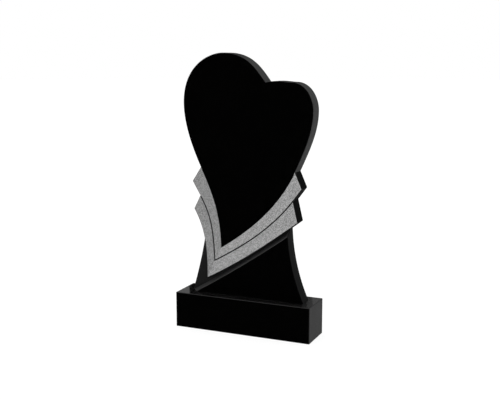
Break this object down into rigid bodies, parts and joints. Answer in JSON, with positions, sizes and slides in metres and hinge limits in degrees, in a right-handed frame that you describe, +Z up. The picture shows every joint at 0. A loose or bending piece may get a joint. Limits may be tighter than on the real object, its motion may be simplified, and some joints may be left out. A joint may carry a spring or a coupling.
{
  "type": "heart headstone",
  "caption": "Black granite memorial: a lopsided heart slab with V-shaped bands and a flared foot, on a block plinth.",
  "frame": {"origin": "centre of the plinth's underside", "axes": "+Z up, the carved front faces -Y, +X to the right as seen from the front"},
  "size_m": [0.562, 0.15, 1.0763],
  "materials": {
    "stele_granite": "polished black granite on the heart, facet and back; honed grey on the two bands; dark honed in the recess and on the heart's edge",
    "plinth_granite": "polished black granite on front and top, dark honed ends and back"
  },
  "bodies": {
    "root": {"stele": "stele_granite", "plinth": "plinth_granite"}
  },
  "joints": []
}
